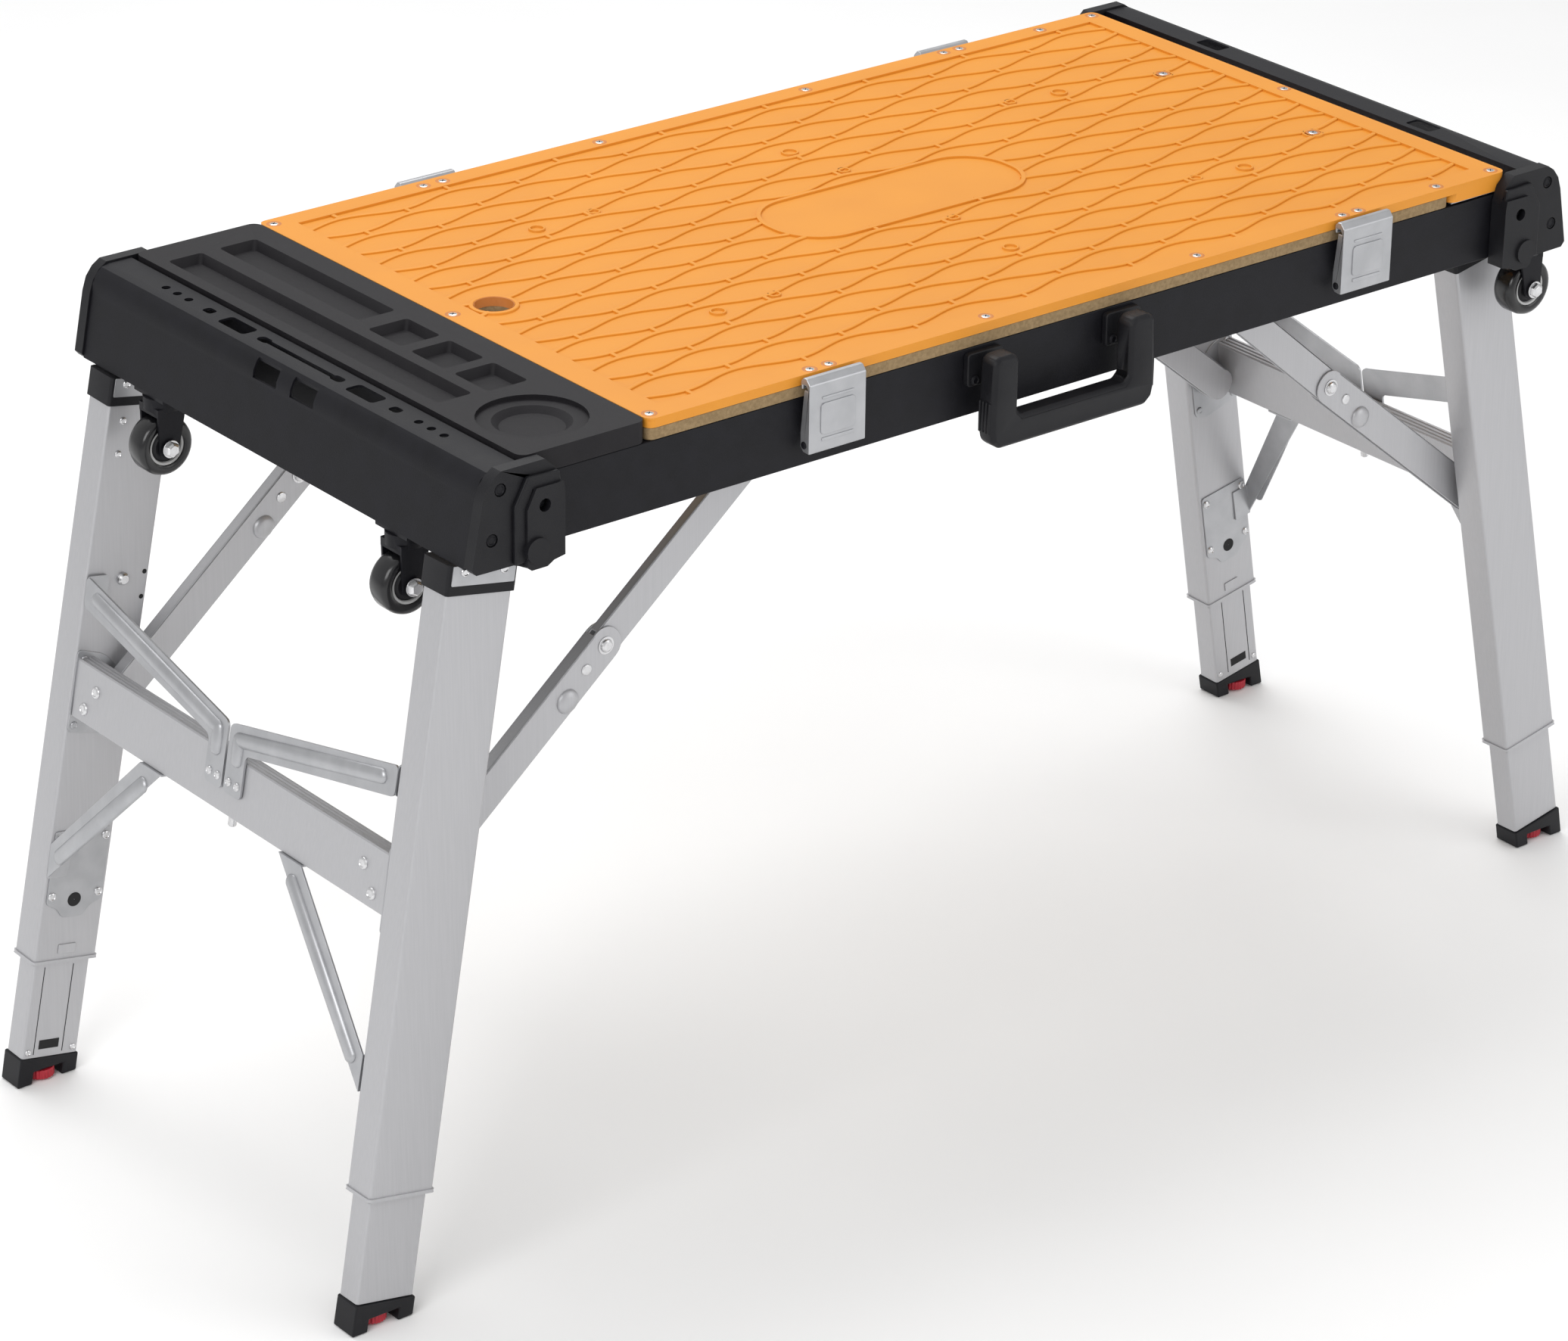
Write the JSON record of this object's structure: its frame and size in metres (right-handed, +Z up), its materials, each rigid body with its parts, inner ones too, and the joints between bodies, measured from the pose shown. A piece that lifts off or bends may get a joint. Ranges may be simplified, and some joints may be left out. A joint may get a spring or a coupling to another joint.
{
  "type": "work platform bench",
  "caption": "Folding steel bench with a ribbed deck, a tool tray at one end, under-frame casters, a carrying handle, latches, and splayed leg frames that fold and draw out.",
  "frame": {"origin": "on the floor under the middle of the top frame", "axes": "+X along the bench away from the tool tray, +Y towards the back (the handle is on the -Y side), +Z up"},
  "size_m": [1.1341, 0.4738, 0.5755],
  "materials": {
    "black_steel": "satin powder coat",
    "black_plastic": "fine moulded texture",
    "tray_plastic": "fine moulded texture",
    "orange_plastic": "semi-gloss moulding",
    "fibreboard": "raw medium-density fibreboard edge",
    "silver_paint": "metallic grey paint, satin",
    "zinc_steel": "bright zinc plate on pressed steel",
    "red_plastic": "satin moulding",
    "caster_tread": "hard glossy tread"
  },
  "bodies": {
    "frame": {"end_beam_left": "black_steel", "end_beam_right": "black_steel", "side_rail_front": "black_steel", "side_rail_back": "black_steel", "tool_tray": "tray_plastic", "corner_bracket_front_left": "black_plastic", "corner_bracket_front_right": "black_plastic", "corner_bracket_back_left": "black_plastic", "corner_bracket_back_right": "black_plastic"},
    "deck": {"deck_panel": "orange_plastic", "deck_board": "fibreboard"},
    "handle": {"carry_handle": "black_plastic"},
    "latch_front_left": {"latch_cover_front_left": "zinc_steel"},
    "caster_front_left": {"caster_fork_front_left": "black_steel"},
    "wheel_front_left": {"caster_wheel_front_left": "caster_tread"},
    "latch_front_right": {"latch_cover_front_right": "zinc_steel"},
    "caster_front_right": {"caster_fork_front_right": "black_steel"},
    "wheel_front_right": {"caster_wheel_front_right": "caster_tread"},
    "latch_back_left": {"latch_cover_back_left": "zinc_steel"},
    "caster_back_left": {"caster_fork_back_left": "black_steel"},
    "wheel_back_left": {"caster_wheel_back_left": "caster_tread"},
    "latch_back_right": {"latch_cover_back_right": "zinc_steel"},
    "caster_back_right": {"caster_fork_back_right": "black_steel"},
    "wheel_back_right": {"caster_wheel_back_right": "caster_tread"},
    "legs_left": {"leg_tube_front_left": "silver_paint", "leg_cap_front_left": "black_plastic", "lower_strut_front_left": "zinc_steel", "leg_tube_back_left": "silver_paint", "leg_cap_back_left": "black_plastic", "lower_strut_back_left": "zinc_steel", "rung_left": "silver_paint", "upper_strut_left": "zinc_steel"},
    "legs_right": {"leg_tube_front_right": "silver_paint", "leg_cap_front_right": "black_plastic", "lower_strut_front_right": "zinc_steel", "leg_tube_back_right": "silver_paint", "leg_cap_back_right": "black_plastic", "lower_strut_back_right": "zinc_steel", "rung_right": "silver_paint", "upper_strut_right": "zinc_steel"},
    "brace_up_front_left": {"brace_upper_front_left": "zinc_steel"},
    "brace_low_front_left": {"brace_lower_front_left": "zinc_steel"},
    "extension_front_left": {"leg_extension_front_left": "silver_paint", "foot_front_left": "black_plastic"},
    "level_front_left": {"level_wheel_front_left": "red_plastic"},
    "brace_up_back_left": {"brace_upper_back_left": "zinc_steel"},
    "brace_low_back_left": {"brace_lower_back_left": "zinc_steel"},
    "extension_back_left": {"leg_extension_back_left": "silver_paint", "foot_back_left": "black_plastic"},
    "level_back_left": {"level_wheel_back_left": "red_plastic"},
    "brace_up_front_right": {"brace_upper_front_right": "zinc_steel"},
    "brace_low_front_right": {"brace_lower_front_right": "zinc_steel"},
    "extension_front_right": {"leg_extension_front_right": "silver_paint", "foot_front_right": "black_plastic"},
    "level_front_right": {"level_wheel_front_right": "red_plastic"},
    "brace_up_back_right": {"brace_upper_back_right": "zinc_steel"},
    "brace_low_back_right": {"brace_lower_back_right": "zinc_steel"},
    "extension_back_right": {"leg_extension_back_right": "silver_paint", "foot_back_right": "black_plastic"},
    "level_back_right": {"level_wheel_back_right": "red_plastic"}
  },
  "joints": [
    {"name": "deck_lift", "type": "slide", "parent": "frame", "child": "deck", "axis": [0, 0, 1], "range_m": [0, 0.06]},
    {"name": "handle_swing", "type": "hinge", "parent": "frame", "child": "handle", "pos_m": [0, -0.2335, 0.552], "axis": [-1, 0, 0], "range_deg": [0, 95]},
    {"name": "latch_open_front_left", "type": "hinge", "parent": "frame", "child": "latch_front_left", "pos_m": [-0.1879, -0.2217, 0.53], "axis": [1, 0, 0], "range_deg": [0, 100]},
    {"name": "caster_swivel_front_left", "type": "hinge", "parent": "frame", "child": "caster_front_left", "pos_m": [-0.459, -0.1376, 0.4745], "axis": [0, 0, 1], "continuous": true},
    {"name": "caster_roll_front_left", "type": "hinge", "parent": "caster_front_left", "child": "wheel_front_left", "pos_m": [-0.462, -0.1376, 0.4745], "axis": [0, 1, 0], "continuous": true},
    {"name": "latch_open_front_right", "type": "hinge", "parent": "frame", "child": "latch_front_right", "pos_m": [0.2751, -0.2217, 0.53], "axis": [1, 0, 0], "range_deg": [0, 100]},
    {"name": "caster_swivel_front_right", "type": "hinge", "parent": "frame", "child": "caster_front_right", "pos_m": [0.459, -0.196, 0.4745], "axis": [0, 0, 1], "continuous": true},
    {"name": "caster_roll_front_right", "type": "hinge", "parent": "caster_front_right", "child": "wheel_front_right", "pos_m": [0.462, -0.196, 0.4745], "axis": [0, 1, 0], "continuous": true},
    {"name": "latch_open_back_left", "type": "hinge", "parent": "frame", "child": "latch_back_left", "pos_m": [-0.1879, 0.2217, 0.53], "axis": [-1, 0, 0], "range_deg": [0, 100]},
    {"name": "caster_swivel_back_left", "type": "hinge", "parent": "frame", "child": "caster_back_left", "pos_m": [-0.459, 0.1376, 0.4745], "axis": [0, 0, 1], "continuous": true},
    {"name": "caster_roll_back_left", "type": "hinge", "parent": "caster_back_left", "child": "wheel_back_left", "pos_m": [-0.462, 0.1376, 0.4745], "axis": [0, 1, 0], "continuous": true},
    {"name": "latch_open_back_right", "type": "hinge", "parent": "frame", "child": "latch_back_right", "pos_m": [0.2751, 0.2217, 0.53], "axis": [-1, 0, 0], "range_deg": [0, 100]},
    {"name": "caster_swivel_back_right", "type": "hinge", "parent": "frame", "child": "caster_back_right", "pos_m": [0.459, 0.196, 0.4745], "axis": [0, 0, 1], "continuous": true},
    {"name": "caster_roll_back_right", "type": "hinge", "parent": "caster_back_right", "child": "wheel_back_right", "pos_m": [0.462, 0.196, 0.4745], "axis": [0, 1, 0], "continuous": true},
    {"name": "leg_fold_left", "type": "hinge", "parent": "frame", "child": "legs_left", "pos_m": [-0.426, 0, 0.5183], "axis": [0, -1, 0], "range_deg": [0, 100.44]},
    {"name": "leg_fold_right", "type": "hinge", "parent": "frame", "child": "legs_right", "pos_m": [0.426, 0, 0.5183], "axis": [0, 1, 0], "range_deg": [0, 102.2]},
    {"name": "brace_fold_up_front_left", "type": "hinge", "parent": "frame", "child": "brace_up_front_left", "pos_m": [-0.186, -0.19, 0.531], "axis": [0, -1, 0], "range_deg": [-39.88, 0]},
    {"name": "brace_fold_low_front_left", "type": "hinge", "parent": "legs_left", "child": "brace_low_front_left", "pos_m": [-0.48257, -0.19, 0.28468], "axis": [0, -1, 0], "range_deg": [0, 31.58]},
    {"name": "leg_draw_front_left", "type": "slide", "parent": "legs_left", "child": "extension_front_left", "axis": [0.1812, 0.0227, 0.9832], "range_m": [-0.228, 0]},
    {"name": "level_turn_front_left", "type": "hinge", "parent": "extension_front_left", "child": "level_front_left", "pos_m": [-0.5398, -0.20003, 0.0046], "axis": [0, 0, 1], "continuous": true},
    {"name": "brace_fold_up_back_left", "type": "hinge", "parent": "frame", "child": "brace_up_back_left", "pos_m": [-0.186, 0.19, 0.531], "axis": [0, -1, 0], "range_deg": [-39.88, 0]},
    {"name": "brace_fold_low_back_left", "type": "hinge", "parent": "legs_left", "child": "brace_low_back_left", "pos_m": [-0.48257, 0.19, 0.28468], "axis": [0, -1, 0], "range_deg": [0, 31.58]},
    {"name": "leg_draw_back_left", "type": "slide", "parent": "legs_left", "child": "extension_back_left", "axis": [0.1812, -0.0227, 0.9832], "range_m": [-0.228, 0]},
    {"name": "level_turn_back_left", "type": "hinge", "parent": "extension_back_left", "child": "level_back_left", "pos_m": [-0.5398, 0.20003, 0.0046], "axis": [0, 0, 1], "continuous": true},
    {"name": "brace_fold_up_front_right", "type": "hinge", "parent": "frame", "child": "brace_up_front_right", "pos_m": [0.19, -0.1534, 0.531], "axis": [0, 1, 0], "range_deg": [-44.27, 0]},
    {"name": "brace_fold_low_front_right", "type": "hinge", "parent": "legs_right", "child": "brace_low_front_right", "pos_m": [0.48566, -0.1534, 0.28545], "axis": [0, 1, 0], "range_deg": [0, 28.36]},
    {"name": "leg_draw_front_right", "type": "slide", "parent": "legs_right", "child": "extension_front_right", "axis": [-0.1942, 0.0227, 0.9807], "range_m": [-0.228, 0]},
    {"name": "level_turn_front_right", "type": "hinge", "parent": "extension_front_right", "child": "level_front_right", "pos_m": [0.54698, -0.16347, 0.0046], "axis": [0, 0, 1], "continuous": true},
    {"name": "brace_fold_up_back_right", "type": "hinge", "parent": "frame", "child": "brace_up_back_right", "pos_m": [0.19, 0.1534, 0.531], "axis": [0, 1, 0], "range_deg": [-44.27, 0]},
    {"name": "brace_fold_low_back_right", "type": "hinge", "parent": "legs_right", "child": "brace_low_back_right", "pos_m": [0.48566, 0.1534, 0.28545], "axis": [0, 1, 0], "range_deg": [0, 28.36]},
    {"name": "leg_draw_back_right", "type": "slide", "parent": "legs_right", "child": "extension_back_right", "axis": [-0.1942, -0.0227, 0.9807], "range_m": [-0.228, 0]},
    {"name": "level_turn_back_right", "type": "hinge", "parent": "extension_back_right", "child": "level_back_right", "pos_m": [0.54698, 0.16347, 0.0046], "axis": [0, 0, 1], "continuous": true}
  ],
  "couplings": [
    {"joint": "brace_fold_up_front_left", "follows": "leg_fold_left", "ratio": -0.3969},
    {"joint": "brace_fold_low_front_left", "follows": "leg_fold_left", "ratio": 0.31423},
    {"joint": "brace_fold_up_back_left", "follows": "leg_fold_left", "ratio": -0.3969},
    {"joint": "brace_fold_low_back_left", "follows": "leg_fold_left", "ratio": 0.31423},
    {"joint": "brace_fold_up_front_right", "follows": "leg_fold_right", "ratio": -0.43305},
    {"joint": "brace_fold_low_front_right", "follows": "leg_fold_right", "ratio": 0.27738},
    {"joint": "brace_fold_up_back_right", "follows": "leg_fold_right", "ratio": -0.43305},
    {"joint": "brace_fold_low_back_right", "follows": "leg_fold_right", "ratio": 0.27738}
  ]
}
